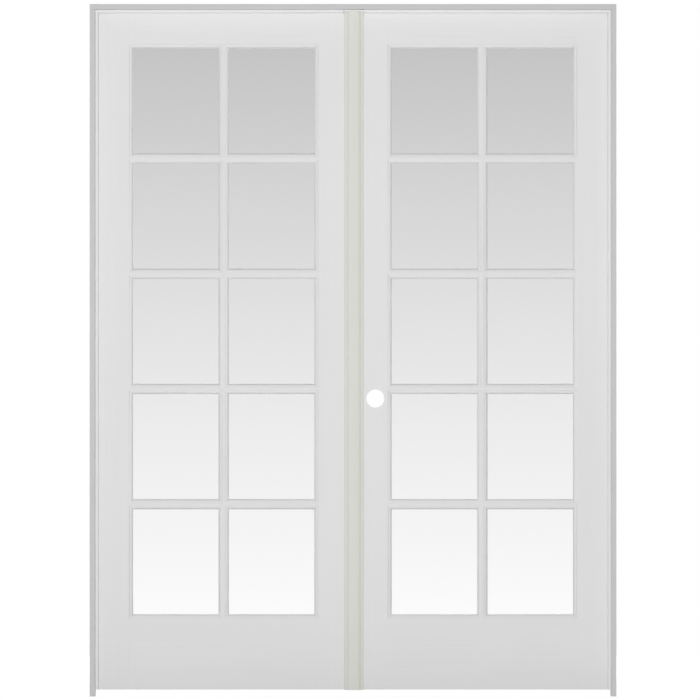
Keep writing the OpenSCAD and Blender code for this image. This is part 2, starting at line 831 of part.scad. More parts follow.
for (s = sides) on_side(s) {
    leg();
    side_stop();
    head_stop(s == "left" ? -cap_left_x : cap_right_x);
    at_leaf() {
        hinge_pins();
        hinge_frame_screws();
        hinge_leaf_screws();
        for (l = [0 : 2]) at_hinge(l) {
            name = str(s, "_", hinge_levels[l], "_hinge");
            hinge_plate(1, leaf_screw_l);
            to_frame_plate()
                hinge_plate(0, jamb_screw_l);
        }
        hinge_stile();
        meeting_stile(s);
        top_rail();
        bottom_rail();
        upright_bar();
        for (r = [1 : rows - 1]) cross_bar(r);
        glass_panes();
        glazing_beads();
    }
}
head_jamb();
frame_corner_screws();
head_strike();
head_strike_screws();
at_leaf() {
    astragal_cap();
    astragal_stem();
    astragal_screws();
    flush_bolt_screws();
    for (e = bolt_ends) at_bolt(e) {
        bolt_plate();
        flush_bolt();
    }
}
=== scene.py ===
# %% [markdown]
# # A prehung pair of french doors
#
# Two glazed leaves hang in a flat three-sided frame. A moulded T-shaped strip, the astragal, covers the
# joint between them. The shapes come from the imported CAD model; this lesson gives them their finishes,
# their screws, a camera and a studio.

# %% [markdown]
# ## Loading the imported frame
#
# Every Blender object here is in metres and in the same place as its solid. The box around the whole model
# is measured straight away, before anything is added.

import json
import math

import bmesh
import bpy
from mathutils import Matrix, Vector


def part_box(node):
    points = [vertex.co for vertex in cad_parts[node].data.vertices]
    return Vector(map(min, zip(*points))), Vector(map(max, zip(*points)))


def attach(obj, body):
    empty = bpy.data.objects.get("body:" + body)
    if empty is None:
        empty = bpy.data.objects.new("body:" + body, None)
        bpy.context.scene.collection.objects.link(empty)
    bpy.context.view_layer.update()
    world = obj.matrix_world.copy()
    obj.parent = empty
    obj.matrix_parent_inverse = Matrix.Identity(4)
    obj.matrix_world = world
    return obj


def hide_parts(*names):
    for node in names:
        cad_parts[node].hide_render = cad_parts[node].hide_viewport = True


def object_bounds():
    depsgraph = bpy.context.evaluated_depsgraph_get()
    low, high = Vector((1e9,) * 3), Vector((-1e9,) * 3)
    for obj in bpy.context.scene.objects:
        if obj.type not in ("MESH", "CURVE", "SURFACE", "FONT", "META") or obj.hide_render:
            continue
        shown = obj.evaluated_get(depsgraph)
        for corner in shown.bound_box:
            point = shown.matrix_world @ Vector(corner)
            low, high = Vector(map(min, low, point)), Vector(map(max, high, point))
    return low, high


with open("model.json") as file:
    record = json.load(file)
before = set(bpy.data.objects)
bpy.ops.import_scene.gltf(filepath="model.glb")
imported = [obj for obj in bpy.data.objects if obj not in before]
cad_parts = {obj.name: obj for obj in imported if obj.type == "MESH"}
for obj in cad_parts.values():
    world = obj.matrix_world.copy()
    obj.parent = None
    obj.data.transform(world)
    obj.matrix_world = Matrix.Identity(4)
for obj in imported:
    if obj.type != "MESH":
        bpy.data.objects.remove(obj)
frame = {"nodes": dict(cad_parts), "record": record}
cad_box = [list(corner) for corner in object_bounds()]
nodes = frame["nodes"]
record = frame["record"]
body_of = {node: body for body, members in record["behaviour"]["bodies"].items() for node in members}
slot_of = {part["node"]: part["material_slot"] for part in record["subparts"]}
scene = bpy.context.scene
print("solids:", len(nodes), "bodies:", sorted(set(body_of.values())))

# %% [markdown]
# ## The camera
#
# The doors are seen squarely from the push side, with no visible perspective. A very long lens from far
# away gives that, and keeps a real camera that can be moved to other angles, which a flat projection would
# not.

# %% Camera
FRONT_Y = cad_box[0][1]
VIEW_WIDTH = 2.0927
VIEW_X, VIEW_Z = -0.0091, 1.0358
LENS, SENSOR = 800.0, 36.0
FAR_END = 1000.0

camera_data = bpy.data.cameras.new("front_camera")
camera_data.sensor_width = SENSOR
camera_data.lens = LENS
camera_data.clip_end = FAR_END
camera = bpy.data.objects.new("front_camera", camera_data)
camera.location = (VIEW_X, FRONT_Y - VIEW_WIDTH * LENS / SENSOR, VIEW_Z)
camera.rotation_euler = (math.pi / 2, 0.0, 0.0)
scene.collection.objects.link(camera)
scene.camera = camera
scene.view_settings.view_transform = "Standard"
print("camera", round(-camera.location.y, 2), "m in front of the doors")

# %% [markdown]
# ## Colours
#
# Colours are written as they look on screen, from 0 to 255, and turned into linear light here. A tint makes
# a colour a little darker or lighter.

# %% Colours
WHITE = (1.0, 1.0, 1.0, 1.0)


def light_value(level):
    """Linear light of a screen value from 0 to 255."""
    value = level / 255.0
    return value / 12.92 if value <= 0.04045 else ((value + 0.055) / 1.055) ** 2.4


def screen_colour(red, green, blue):
    return (light_value(red), light_value(green), light_value(blue), 1.0)


def screen_grey(level):
    return screen_colour(level, level, level)


def tinted(colour, factor):
    return tuple(min(1.0, part * factor) for part in colour[:3]) + (1.0,)


print("white of 255 is", round(light_value(255), 3))

# %% [markdown]
# ## Node helpers
#
# All finishes are node trees. Small helpers keep the cells short: one adds a node with its settings, one
# joins two sockets, and one starts a material. The last one tells what is looked at from what is only lit:
# it gives 1 to the camera, to mirrors and to what is seen through glass, and 0 to all other light.


# %% Node helpers
def put(tree, kind, inputs=(), **settings):
    node = tree.nodes.new(kind)
    for name, value in settings.items():
        setattr(node, name, value)
    for name, value in dict(inputs).items():
        node.inputs[name].default_value = value
    return node


def join(tree, source, output, target, socket):
    tree.links.new(source.outputs[output], target.inputs[socket])


def new_material(name):
    """A material, its node tree and its main shader."""
    material = bpy.data.materials.new(name)
    material.use_nodes = True
    return material, material.node_tree, material.node_tree.nodes["Principled BSDF"]


def looked_at(tree):
    ray = put(tree, "ShaderNodeLightPath")
    camera_or_mirror = put(tree, "ShaderNodeMath", operation="MAXIMUM")
    any_look = put(tree, "ShaderNodeMath", operation="MAXIMUM")
    join(tree, ray, "Is Camera Ray", camera_or_mirror, 0)
    join(tree, ray, "Is Glossy Ray", camera_or_mirror, 1)
    join(tree, camera_or_mirror, 0, any_look, 0)
    join(tree, ray, "Is Transmission Ray", any_look, 1)
    return any_look


print("node helpers ready")

# %% [markdown]
# ## White surroundings
#
# The doors stand in front of plain white. The world shows white wherever it is looked at, and a softer grey
# to everything else, so that the white surroundings add no glare to the painted wood.

# %% World
AMBIENT = 0.24

world = bpy.data.worlds.new("white_surroundings")
world.use_nodes = True
scene.world = world
sky = world.node_tree
sky.nodes.clear()
sky_look = looked_at(sky)
strength = put(sky, "ShaderNodeMapRange", {"To Min": AMBIENT, "To Max": 1.0})
backdrop = put(sky, "ShaderNodeBackground", {"Color": WHITE})
sky_out = put(sky, "ShaderNodeOutputWorld")
join(sky, sky_look, 0, strength, "Value")
join(sky, strength, "Result", backdrop, "Strength")
join(sky, backdrop, "Background", sky_out, "Surface")
print("ambient level", AMBIENT)

# %% [markdown]
# ## The floor
#
# A pale floor catches the shadow of the doors. Most of what the camera sees of it is plain white. Near the
# doors a share of its real shading is kept, so that the shadow stays, and further out that share fades
# away, so that the floor runs into the white surroundings without a line.

# %% Floor
FLOOR_HALF, FLOOR_ALBEDO = 6.0, 0.6
SHADING_SHARE, FLOOR_GLOW = 0.25, 1.17
SHADOW_NEAR, SHADOW_FAR = 1.5, 3.5


def flat_sheet(name, corners):
    mesh = bpy.data.meshes.new(name)
    mesh.from_pydata(corners, [], [(0, 1, 2, 3)])
    sheet = bpy.data.objects.new(name, mesh)
    scene.collection.objects.link(sheet)
    return sheet


floor = flat_sheet("studio_floor", [(-FLOOR_HALF, -FLOOR_HALF, 0), (FLOOR_HALF, -FLOOR_HALF, 0),
                                    (FLOOR_HALF, FLOOR_HALF, 0), (-FLOOR_HALF, FLOOR_HALF, 0)])
floor_paint, ground, _ = new_material("pale_floor")
ground.nodes.clear()
matt = put(ground, "ShaderNodeBsdfDiffuse", {"Color": (FLOOR_ALBEDO, FLOOR_ALBEDO, FLOOR_ALBEDO, 1.0)})
glow = put(ground, "ShaderNodeEmission", {"Color": WHITE, "Strength": FLOOR_GLOW})
ground_look = looked_at(ground)
spot = put(ground, "ShaderNodeTexCoord")
reach = put(ground, "ShaderNodeVectorMath", operation="LENGTH")
white_share = put(ground, "ShaderNodeMapRange", {"From Min": SHADOW_NEAR, "From Max": SHADOW_FAR,
                                                 "To Min": 1.0 - SHADING_SHARE, "To Max": 1.0})
share = put(ground, "ShaderNodeMath", operation="MULTIPLY")
blend = put(ground, "ShaderNodeMixShader")
ground_out = put(ground, "ShaderNodeOutputMaterial")
join(ground, spot, "Object", reach, 0)
join(ground, reach, "Value", white_share, "Value")
join(ground, ground_look, 0, share, 0)
join(ground, white_share, "Result", share, 1)
join(ground, share, 0, blend, "Fac")
join(ground, matt, "BSDF", blend, 1)
join(ground, glow, "Emission", blend, 2)
join(ground, blend, "Shader", ground_out, "Surface")
floor.data.materials.append(floor_paint)
print("floor", 2 * FLOOR_HALF, "m square")

# %% [markdown]
# ## What the panes look out on
#
# The panes are clear, yet they darken evenly from the bottom row to the top one, as glass does in front of
# a graded studio backdrop. A card behind the doors carries that grade, as a height in metres and a grey for
# its foot, a knee and its top. At its sides it fades to white. Only light that has passed through glass
# sees it, so it throws no shadow and adds no light to the wood.

# %% Graded card behind the glass
CARD_Y, CARD_HALF, CARD_TOP = 1.5, 1.35, 2.25
CARD_FADE = 0.25
GRADE = ((0.10, 254.5), (0.75, 237), (2.05, 187.5))
MIX_FIRST, MIX_SECOND, MIX_RESULT = 6, 7, 2  # the colour sockets of a Mix node

card = flat_sheet("graded_card", [(-CARD_HALF, CARD_Y, 0.0), (CARD_HALF, CARD_Y, 0.0),
                                  (CARD_HALF, CARD_Y, CARD_TOP), (-CARD_HALF, CARD_Y, CARD_TOP)])
card_paint, board, _ = new_material("graded_card")
board.nodes.clear()
place = put(board, "ShaderNodeTexCoord")
axes = put(board, "ShaderNodeSeparateXYZ")
height = put(board, "ShaderNodeMapRange", {"From Min": 0.0, "From Max": CARD_TOP})
tones = put(board, "ShaderNodeValToRGB")
while len(tones.color_ramp.elements) < len(GRADE):
    tones.color_ramp.elements.new(0.5)
for stop, (z, level) in zip(tones.color_ramp.elements, GRADE):
    stop.position = z / CARD_TOP
    stop.color = screen_grey(level)
sideways = put(board, "ShaderNodeMath", operation="ABSOLUTE")
fade = put(board, "ShaderNodeMapRange", {"From Min": CARD_HALF - CARD_FADE, "From Max": CARD_HALF})
to_white = put(board, "ShaderNodeMix", {MIX_SECOND: WHITE}, data_type="RGBA")
card_glow = put(board, "ShaderNodeEmission", {"Strength": 1.0})
card_out = put(board, "ShaderNodeOutputMaterial")
join(board, place, "Object", axes, "Vector")
join(board, axes, "Z", height, "Value")
join(board, height, "Result", tones, "Fac")
join(board, axes, "X", sideways, 0)
join(board, sideways, 0, fade, "Value")
join(board, fade, "Result", to_white, "Factor")
join(board, tones, "Color", to_white, MIX_FIRST)
join(board, to_white, MIX_RESULT, card_glow, "Color")
join(board, card_glow, "Emission", card_out, "Surface")
card.data.materials.append(card_paint)
card.visible_camera = False
card.visible_diffuse = False
card.visible_glossy = False
card.visible_shadow = False
print("card grades over", len(GRADE), "heights")

# %% [markdown]
# ## Soft light
#
# One soft lamp stands almost straight in front, a little to the left, so that the deep frame throws no
# shadow on the leaves and the foot of the doors falls off gently. Two lamps at the sides and one behind
# stand back from the front plane: they reach only the faces that other views show, and draw bright lines on
# the metal there. The front lamp isn't mirrored, or the panes would show it.

# %% Lamps
LAMPS = (
    # name, place, target, size in metres, power in watts, mirrored
    ("front_lamp", (-0.4, -6.0, 1.65), (0.0, 0.0, 1.3), 1.4, 222.0, False),
    ("left_lamp", (-4.6, 0.8, 3.8), (0.0, 0.0, 1.3), 2.0, 125.0, True),
    ("right_lamp", (4.6, 0.8, 3.8), (0.0, 0.0, 1.3), 2.0, 125.0, True),
    ("back_lamp", (1.2, 5.5, 2.2), (0.0, 0.0, 1.1), 2.0, 160.0, True),
)


def soft_lamp(name, place, target, size, power, mirrored):
    data = bpy.data.lights.new(name, "AREA")
    data.shape = "SQUARE"
    data.size = size
    data.energy = power
    lamp = bpy.data.objects.new(name, data)
    lamp.location = place
    lamp.rotation_euler = (Vector(target) - Vector(place)).to_track_quat("-Z", "Y").to_euler()
    lamp.visible_camera = False
    lamp.visible_glossy = mirrored
    lamp.visible_transmission = False
    scene.collection.objects.link(lamp)


for lamp_settings in LAMPS:
    soft_lamp(*lamp_settings)

# %% [markdown]
# ## Primed wood
#
# Such doors come from the factory with a sprayed white primer. Under it the grain still shows as very faint
# lines, and the spray leaves a fine pebbled skin. Both are noise textures: the grain is stretched along the
# piece, and the skin is fine and even.

# %% Primed wood recipe
ALONG_X, ALONG_Z = (2.0, 260.0, 260.0), (260.0, 260.0, 2.0)
CLOUD_SHARE = 0.5
TINT_FROM, TINT_TO, TINT_SPREAD = 0.45, 1.05, 0.018
PRIMER_SPREAD, PRIMER_SPECULAR = 0.07, 0.35


def primed_wood(name, colour, grain, roughness):
    paint, tree, shader = new_material(name)
    place = put(tree, "ShaderNodeTexCoord")
    stretch = put(tree, "ShaderNodeMapping", {"Scale": grain})
    lines = put(tree, "ShaderNodeTexNoise",
                {"Scale": 1.0, "Detail": 5.0, "Roughness": 0.6, "Distortion": 0.4})
    clouds = put(tree, "ShaderNodeTexNoise", {"Scale": 2.2, "Detail": 2.0})
    skin = put(tree, "ShaderNodeTexNoise", {"Scale": 1100.0, "Detail": 2.0})
    join(tree, place, "Object", stretch, "Vector")
    join(tree, stretch, "Vector", lines, "Vector")
    join(tree, place, "Object", clouds, "Vector")
    join(tree, place, "Object", skin, "Vector")

    mottling = put(tree, "ShaderNodeMath", {1: CLOUD_SHARE}, operation="MULTIPLY_ADD")
    join(tree, clouds, 0, mottling, 0)
    join(tree, lines, 0, mottling, 2)
    tint = put(tree, "ShaderNodeValToRGB")
    thin, thick = tint.color_ramp.elements
    thin.position, thick.position = TINT_FROM, TINT_TO
    thin.color = tinted(colour, 1.0 - TINT_SPREAD)
    thick.color = tinted(colour, 1.0 + TINT_SPREAD)
    join(tree, mottling, 0, tint, "Fac")
    join(tree, tint, "Color", shader, "Base Color")

    sheen = put(tree, "ShaderNodeMapRange",
                {"To Min": roughness - PRIMER_SPREAD, "To Max": roughness + PRIMER_SPREAD})
    join(tree, skin, 0, sheen, "Value")
    join(tree, sheen, "Result", shader, "Roughness")

    grain_relief = put(tree, "ShaderNodeBump", {"Strength": 0.10, "Distance": 0.0002})
    skin_relief = put(tree, "ShaderNodeBump", {"Strength": 0.10, "Distance": 0.0001})
    join(tree, lines, 0, grain_relief, "Height")
    join(tree, skin, 0, skin_relief, "Height")
    join(tree, grain_relief, "Normal", skin_relief, "Normal")
    join(tree, skin_relief, "Normal", shader, "Normal")
    shader.inputs["Specular IOR Level"].default_value = PRIMER_SPECULAR
    return paint


print("grain scales", ALONG_X, ALONG_Z)

# %% [markdown]
# The same recipe serves every painted piece. Leaves and beads share a white, the jambs greyer and the
# astragal creamier. The stops carry the leaves' white painted a touch lighter: painted light that lifts the
# shade on their rounded noses. All but the astragal come in two grains, for upright and for level pieces.

# %% Primers
LEAF_WHITE, LEAF_SHEEN = screen_grey(225), 0.5
PRIMERS = {"leaf_primer": (LEAF_WHITE, LEAF_SHEEN), "bead_primer": (LEAF_WHITE, LEAF_SHEEN),
           # painted light: the stops' white is lighter than the leaves' only to lift the shade on their
           # rounded noses
           "stop_primer": (screen_grey(228), 0.52), "jamb_primer": (screen_grey(199), 0.6)}

upright_primer, level_primer = {}, {}
for slot, (colour, roughness) in PRIMERS.items():
    upright_primer[slot] = primed_wood(slot + "_upright", colour, ALONG_Z, roughness)
    level_primer[slot] = primed_wood(slot + "_level", colour, ALONG_X, roughness)
astragal_paint = primed_wood("astragal_primer", screen_colour(217, 217, 211), ALONG_Z, 0.45)
print("primers:", [m.name for m in bpy.data.materials if "primer" in m.name])

# %% [markdown]
# ## Bare wood in the drilled holes
#
# The lock bore is drilled after the leaf is primed, so its wall is bare pine. Growth rings are bands bent
# by noise; pale earlywood and darker latewood take turns.

# %% Bare pine
EARLY_WOOD, LATE_WOOD = screen_colour(222, 198, 158), screen_colour(190, 152, 104)
LATE_FROM = 0.9


def bare_pine(name):
    wood, tree, shader = new_material(name)
    place = put(tree, "ShaderNodeTexCoord")
    stretch = put(tree, "ShaderNodeMapping", {"Scale": (1.0, 1.0, 0.12)})
    rings = put(tree, "ShaderNodeTexWave",
                {"Scale": 55.0, "Distortion": 5.0, "Detail": 3.0, "Detail Scale": 1.5})
    tint = put(tree, "ShaderNodeValToRGB")
    early, late = tint.color_ramp.elements
    early.color, late.color = EARLY_WOOD, LATE_WOOD
    late.position = LATE_FROM
    relief = put(tree, "ShaderNodeBump", {"Strength": 0.3, "Distance": 0.0003})
    join(tree, place, "Object", stretch, "Vector")
    join(tree, stretch, "Vector", rings, "Vector")
    join(tree, rings, "Color", tint, "Fac")
    join(tree, tint, "Color", shader, "Base Color")
    join(tree, rings, "Fac", relief, "Height")
    join(tree, relief, "Normal", shader, "Normal")
    shader.inputs["Roughness"].default_value = 0.75
    return wood


drilled_pine = bare_pine("drilled_pine")
print("made", drilled_pine.name)

# %% [markdown]
# ## Float glass
#
# The panes are 4 mm clear float glass, with its slight green cast. A broad, very shallow wave in the
# surface bends reflections a little, as rolled and floated sheets do.

# %% Clear glass
GREEN_CAST = (0.990, 0.994, 0.991, 1.0)


def float_glass(name):
    glass, tree, shader = new_material(name)
    shader.inputs["Base Color"].default_value = GREEN_CAST
    shader.inputs["Roughness"].default_value = 0.0
    shader.inputs["IOR"].default_value = 1.5
    shader.inputs["Transmission Weight"].default_value = 1.0
    place = put(tree, "ShaderNodeTexCoord")
    wave = put(tree, "ShaderNodeTexNoise", {"Scale": 3.0, "Detail": 1.0})
    relief = put(tree, "ShaderNodeBump", {"Strength": 0.02, "Distance": 0.001})
    join(tree, place, "Object", wave, "Vector")
    join(tree, wave, 0, relief, "Height")
    join(tree, relief, "Normal", shader, "Normal")
    return glass


clear_glass = float_glass("clear_glass")
print("made", clear_glass.name)

# %% [markdown]
# ## Metal fittings
#
# The hinges are satin nickel, brushed along their height. Bolts, strikes and screws are plated steel. One
# recipe serves all: a metal whose roughness and relief follow fine lines drawn out along the brushing.

# %% Brushed metal
DULL, BRIGHT = 0.86, 1.1
SMOOTHER, ROUGHER = 0.08, 0.1


def brushed_metal(name, colour, roughness, brushing, depth):
    metal, tree, shader = new_material(name)
    shader.inputs["Metallic"].default_value = 1.0
    place = put(tree, "ShaderNodeTexCoord")
    stretch = put(tree, "ShaderNodeMapping", {"Scale": brushing})
    lines = put(tree, "ShaderNodeTexNoise", {"Scale": 1.0, "Detail": 4.0, "Roughness": 0.65})
    tint = put(tree, "ShaderNodeValToRGB")
    dull, bright = tint.color_ramp.elements
    dull.color, bright.color = tinted(colour, DULL), tinted(colour, BRIGHT)
    spread = put(tree, "ShaderNodeMapRange",
                 {"To Min": roughness - SMOOTHER, "To Max": roughness + ROUGHER})
    relief = put(tree, "ShaderNodeBump", {"Strength": depth, "Distance": 0.0001})
    join(tree, place, "Object", stretch, "Vector")
    join(tree, stretch, "Vector", lines, "Vector")
    join(tree, lines, 0, tint, "Fac")
    join(tree, tint, "Color", shader, "Base Color")
    join(tree, lines, 0, spread, "Value")
    join(tree, spread, "Result", shader, "Roughness")
    join(tree, lines, 0, relief, "Height")
    join(tree, relief, "Normal", shader, "Normal")
    return metal


satin_nickel = brushed_metal("satin_nickel", screen_colour(196, 193, 186), roughness=0.34,
                             brushing=(2500.0, 2500.0, 60.0), depth=0.12)
bolt_steel = brushed_metal("bolt_steel", screen_colour(196, 196, 194), roughness=0.3,
                           brushing=(3000.0, 3000.0, 40.0), depth=0.1)
screw_steel = brushed_metal("screw_steel", screen_colour(200, 199, 192), roughness=0.32,
                            brushing=(900.0, 900.0, 900.0), depth=0.08)
print("metals:", satin_nickel.name, bolt_steel.name, screw_steel.name)

# %% [markdown]
# ## Which finish goes where
#
# The record names a finish for each solid. Wood also needs the direction of its grain: it runs along the
# length of a piece, so the longer side of a piece's box decides. The beads start with the upright grain.

# %% Finish of each piece
OTHER_FINISHES = {"astragal_primer": astragal_paint, "clear_glass": clear_glass,
                  "satin_nickel": satin_nickel, "screw_steel": screw_steel, "bolt_steel": bolt_steel}


def lies_level(node):
    low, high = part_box(node)
    return high.x - low.x > high.z - low.z


def finish_of(node):
    slot = slot_of[node]
    if slot not in PRIMERS:
        return OTHER_FINISHES[slot]
    level = lies_level(node) and slot != "bead_primer"
    return level_primer[slot] if level else upright_primer[slot]


for name, solid in nodes.items():
    solid.data.materials.clear()
    solid.data.materials.append(finish_of(name))
print("finished", len(nodes), "solids")

# %% [markdown]
# The glazing beads of a leaf are one piece with forty strips in it, and half of them lie level. In a merged
# copy a helper walks from vertex to vertex to tell the strips apart. The level ones get the level grain:
# each face is looked up by the place of its first corner.

# %% Grain of the beads
TOUCHING = 1e-6
PLACE_DIGITS = 5


def islands(work):
    """Lists of vertices that hang together once doubles are merged, in the order in which they are met."""
    bmesh.ops.remove_doubles(work, verts=work.verts, dist=TOUCHING)
    met, found = set(), []
    for start in work.verts:
        if start in met:
            continue
        met.add(start)
        island, front = [start], [start]
        while front:
            for edge in front.pop().link_edges:
                for vert in edge.verts:
                    if vert not in met:
                        met.add(vert)
                        island.append(vert)
                        front.append(vert)
        found.append(island)
    return found


def span(island, axis):
    return max(v.co[axis] for v in island) - min(v.co[axis] for v in island)


def place_key(co):
    return tuple(round(value, PLACE_DIGITS) for value in co)


for name in sorted(nodes):
    if slot_of[name] != "bead_primer":
        continue
    mesh = nodes[name].data
    mesh.materials.append(level_primer["bead_primer"])
    work = bmesh.new()
    work.from_mesh(mesh)
    strips = islands(work)
    level = [strip for strip in strips if span(strip, 0) > span(strip, 2)]
    level_places = {place_key(vert.co) for strip in level for vert in strip}
    print(name, len(strips), "strips,", len(level), "of them level")
    work.free()
    for face in mesh.polygons:
        corner = mesh.vertices[face.vertices[0]]
        face.material_index = 1 if place_key(corner.co) in level_places else 0

# %% [markdown]
# ## Eased edges
#
# No painted edge on a door is knife sharp: the arrises are sanded before priming, and stamped plates leave
# the press with a tiny roll. A copy of each such solid is merged and its flat faces are joined up again.
# Outward edges sharper than 35 degrees get a weight of 1. Inner corners and the rims of screw holes, which
# no sanding reaches, get a weight of 0 and stay as they are.

# %% Weighted copy
ARRIS = math.radians(35)
FLAT = math.radians(0.3)
RIM_EDGE = 0.0006
MERGE = 2e-6


def weighted_copy(node):
    mesh = nodes[node].data.copy()
    work = bmesh.new()
    work.from_mesh(mesh)
    bmesh.ops.remove_doubles(work, verts=work.verts, dist=MERGE)
    bmesh.ops.dissolve_limit(work, angle_limit=FLAT, verts=work.verts, edges=work.edges)
    for face in work.faces:
        face.smooth = True
    weight = work.edges.layers.float.new("bevel_weight_edge")
    for edge in work.edges:
        outward = edge.is_manifold and edge.is_convex and edge.calc_face_angle() > ARRIS
        edge[weight] = 1.0 if outward and edge.calc_length() > RIM_EDGE else 0.0
    work.to_mesh(mesh)
    work.free()
    mesh.set_sharp_from_angle(angle=ARRIS)
    return mesh


print("edges over", round(math.degrees(ARRIS)), "degrees are eased")

# %% [markdown]
# A Bevel modifier eases the weighted edges, and corners where the easing runs out are welded shut. A
# Weighted Normal modifier lets the wide flat faces decide the shading at the eased edges. Faces with more
# than four corners are split into triangles, so that every program splits a notched face alike. No vertex
# may leave the solid's box. The copy stands for the solid.

# %% Eased pieces
EASING = {"leaf_primer": 0.0004, "stop_primer": 0.0005, "astragal_primer": 0.0006, "satin_nickel": 0.0003,
          "bolt_steel": 0.0003}
EASING_STEPS = 2
MOST_CORNERS = 4


def plain_mesh(piece):
    """The mesh that a piece's modifiers make."""
    return bpy.data.meshes.new_from_object(piece.evaluated_get(bpy.context.evaluated_depsgraph_get()))


def eased_copy(node, width):
    piece = bpy.data.objects.new(node + "_eased", weighted_copy(node))
    scene.collection.objects.link(piece)
    easing = piece.modifiers.new("Eased edges", "BEVEL")
    easing.width = width
    easing.segments = EASING_STEPS
    easing.limit_method = "WEIGHT"
    easing.use_clamp_overlap = False
    closing = piece.modifiers.new("Closed corners", "WELD")
    closing.merge_threshold = MERGE
    shading = piece.modifiers.new("Flat faces", "WEIGHTED_NORMAL")
    shading.keep_sharp = True
    splitting = piece.modifiers.new("Split faces", "TRIANGULATE")
    splitting.min_vertices = MOST_CORNERS + 1
    splitting.keep_custom_normals = True
    mesh = plain_mesh(piece)
    low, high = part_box(node)
    for vert in mesh.vertices:
        vert.co = [min(max(value, least), most) for value, least, most in zip(vert.co, low, high)]
    piece.modifiers.clear()
    piece.data = mesh
    piece.data.name = piece.name
    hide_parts(node)
    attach(piece, body_of[node])
    return piece


eased = {}
for name in sorted(nodes):
    if slot_of[name] in EASING and "pins" not in name:
        eased[name] = eased_copy(name, EASING[slot_of[name]])
print("eased", len(eased), "pieces,", sum(len(p.data.polygons) for p in eased.values()), "faces")

# %% [markdown]
# ## Bare walls of the lock holes
#
# On the active leaf's meeting stile the faces inside the cross bore, the latch bore and the latch plate's
# recess are the drilled ones, so they get the bare pine. They are found by their distance from the bores'
# axes. Small margins keep the painted faces around them out.

# %% Drilled faces
WALL_MARGIN, SKIN_MARGIN, EDGE_MARGIN = 0.0003, 0.001, 0.0005
RECESS_HALF = 0.0295

bore = next(m for m in record["mounts"] if m["name"] == "lock_bore")
bore_x, _, bore_z = bore["pos_m"]
bore_r = bore["dims"]["r_mm"] / 1000
stile = eased["right_meeting_stile"]
stile.data.materials.append(drilled_pine)
stile_low, stile_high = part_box("right_meeting_stile")
drilled = 0
for face in stile.data.polygons:
    spot = face.center
    across = math.hypot(spot.x - bore_x, spot.z - bore_z) < bore_r + WALL_MARGIN
    inside = stile_low.y + SKIN_MARGIN < spot.y < stile_high.y - SKIN_MARGIN
    along = stile_low.x + EDGE_MARGIN < spot.x < bore_x and abs(spot.z - bore_z) < RECESS_HALF
    if inside and (across or along):
        face.material_index = 1
        drilled += 1
print("bare faces:", drilled)

# %% [markdown]
# ## A countersunk screw
#
# Fifty-three screws hold the fittings. Each has a flat countersunk head with a cross recess, a plain shank
# and a point. The lathe shape is rings of vertices joined to one another; the cross is cut by filling the
# head's flat between its rim and a cross outline, which is then joined to a smaller cross further down.

# %% Screw helper
HEAD_R, SHANK_R, POINT_L = 0.004, 0.0019, 0.004
POINT_R = SHANK_R / 4
RIM = 24
ARM, SLOT, RECESS, TAPER = 0.0024, 0.00055, 0.0013, 0.6
SCREW_ARRIS = math.radians(30)


def ring_of(work, radius, z):
    turns = [2 * math.pi * i / RIM for i in range(RIM)]
    return [work.verts.new((radius * math.cos(turn), radius * math.sin(turn), z)) for turn in turns]


def cross_of(work, arm, half, depth):
    quarter = ((half, arm), (half, half), (arm, half))
    turns = ((1, 0, 0, 1), (0, 1, -1, 0), (-1, 0, 0, -1), (0, -1, 1, 0))
    return [work.verts.new((a * x + b * y, c * x + d * y, depth)) for a, b, c, d in turns
            for x, y in quarter]


def round_pairs(ring):
    """Each vertex of a closed ring with the next one."""
    return list(zip(ring, ring[1:] + ring[:1]))


def join_rings(work, near, far):
    for (here, there), (below, beyond) in zip(round_pairs(near), round_pairs(far)):
        work.faces.new((here, there, beyond, below))


def screw_piece(name, length, head_h):
    work = bmesh.new()
    profile = ((HEAD_R, 0.0), (SHANK_R, head_h), (SHANK_R, length - POINT_L), (POINT_R, length))
    rings = [ring_of(work, radius, z) for radius, z in profile]
    for near, far in zip(rings, rings[1:]):
        join_rings(work, near, far)
    work.faces.new(rings[-1])
    mouth = cross_of(work, ARM, SLOT, 0.0)
    bottom = cross_of(work, ARM * TAPER, SLOT * TAPER, RECESS)
    join_rings(work, mouth, bottom)
    work.faces.new(bottom)
    outline = [work.edges.get(pair) for pair in round_pairs(rings[0]) + round_pairs(mouth)]
    bmesh.ops.triangle_fill(work, use_beauty=True, use_dissolve=False, edges=outline)
    bmesh.ops.recalc_face_normals(work, faces=work.faces)
    for face in work.faces:
        face.smooth = True
    mesh = bpy.data.meshes.new(name)
    work.to_mesh(mesh)
    work.free()
    mesh.set_sharp_from_angle(angle=SCREW_ARRIS)
    return bpy.data.objects.new(name, mesh)


print("screw head", 2000 * HEAD_R, "mm across")

# %% [markdown]
# ## Where the screws are
#
# The solids of the screws say where each one sits and which way it points: in each of them the head is at
# the wide end. Merging a copy and walking its loose islands gives one point and one direction for every
# screw.

# %% Screw places
AT_END = 1e-5


def width_at(points, middle, axis, end):
    """How far from a screw's axis its points reach at one end."""
    widest = 0.0
    for point in points:
        if abs(point[axis] - end) < AT_END:
            off_axis = point - middle
            off_axis[axis] = 0.0
            widest = max(widest, off_axis.length)
    return widest


def screw_places(node):
    work = bmesh.new()
    work.from_mesh(nodes[node].data)
    places = []
    for island in islands(work):
        points = [v.co.copy() for v in island]
        low = Vector([min(p[k] for p in points) for k in range(3)])
        high = Vector([max(p[k] for p in points) for k in range(3)])
        size = high - low
        axis = max(range(3), key=lambda k: size[k])
        middle = (low + high) / 2
        widths = {end: width_at(points, middle, axis, end) for end in (low[axis], high[axis])}
        head, tip = sorted(widths, key=widths.get, reverse=True)
        spot = middle.copy()
        spot[axis] = head
        into = Vector((0.0, 0.0, 0.0))
        into[axis] = 1.0 if tip > head else -1.0
        places.append((spot, into, size[axis]))
    work.free()
    return sorted(places, key=lambda p: tuple(p[0]))


